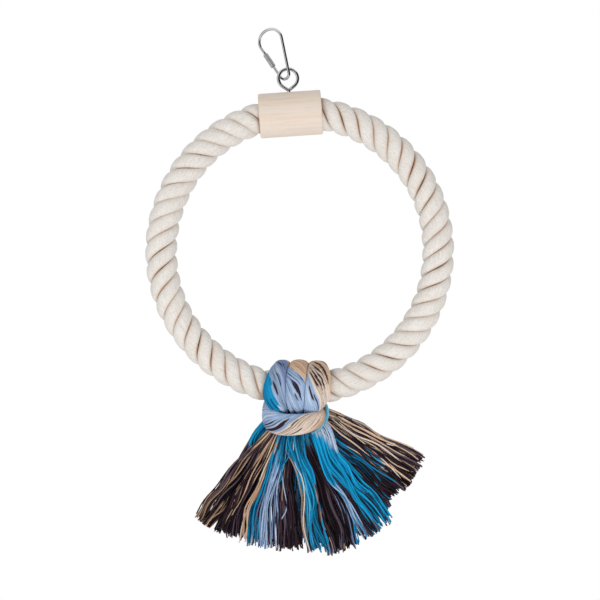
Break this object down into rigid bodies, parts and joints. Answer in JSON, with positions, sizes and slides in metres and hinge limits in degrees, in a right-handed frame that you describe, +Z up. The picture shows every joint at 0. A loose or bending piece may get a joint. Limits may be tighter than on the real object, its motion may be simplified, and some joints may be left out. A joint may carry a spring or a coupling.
{
  "type": "bird swing",
  "caption": "Rope ring perch for a cage bird: cotton rope joined in a turned wooden block, hung from a wire link with a screw sleeve, with a yarn tassel knotted round the bottom.",
  "frame": {"origin": "inside of the wire link's top bend, where the bar that carries the swing passes", "axes": "+Z up when hanging, X across the ring as seen from the front, -Y towards the viewer of the front"},
  "size_m": [0.1997, 0.0386, 0.3448],
  "materials": {
    "nickel": "polished nickel plate",
    "wood": "bare pale wood, sanded",
    "cotton": "undyed cotton yarn",
    "wire": "plain drawn wire",
    "teal_yarn": "dyed plied yarn",
    "blue_yarn": "dyed plied yarn",
    "tan_yarn": "dyed plied yarn",
    "brown_yarn": "dyed plied yarn"
  },
  "bodies": {
    "hook": {"hook_wire": "nickel"},
    "sleeve": {"hook_sleeve": "nickel"},
    "ring": {"screw_eye": "nickel", "wood_block": "wood", "rope_strand_1": "cotton", "rope_strand_2": "cotton", "rope_strand_3": "cotton", "ring_core_wire": "wire", "knot_wrap_left": "blue_yarn", "knot_wrap_middle": "tan_yarn", "knot_wrap_right": "tan_yarn", "knot_band": "tan_yarn"},
    "tassel": {"tassel_neck": "teal_yarn", "lock_tan_left": "tan_yarn", "lock_brown_left": "brown_yarn", "lock_blue_left": "blue_yarn", "lock_brown_middle": "brown_yarn", "lock_teal_middle": "teal_yarn", "lock_brown_right": "brown_yarn", "lock_teal_right": "teal_yarn", "back_lock_teal_left": "teal_yarn", "back_lock_brown_left": "brown_yarn", "back_lock_teal_middle": "teal_yarn", "back_lock_brown_right": "brown_yarn", "back_lock_blue_right": "blue_yarn", "side_lock_brown": "brown_yarn", "side_lock_tan": "tan_yarn"}
  },
  "joints": [
    {"name": "ring_swing", "type": "hinge", "parent": "hook", "child": "ring", "pos_m": [0.01173, 0, -0.03112], "axis": [0, 1, 0], "range_deg": [-45, 45]},
    {"name": "sleeve_slide", "type": "slide", "parent": "hook", "child": "sleeve", "axis": [0.4889, -0.1356, -0.8617], "range_m": [0, 0.004]},
    {"name": "tassel_sway", "type": "hinge", "parent": "ring", "child": "tassel", "pos_m": [0.00054, 0, -0.25518], "axis": [0.9965, 0, -0.0837], "range_deg": [-25, 25]}
  ]
}
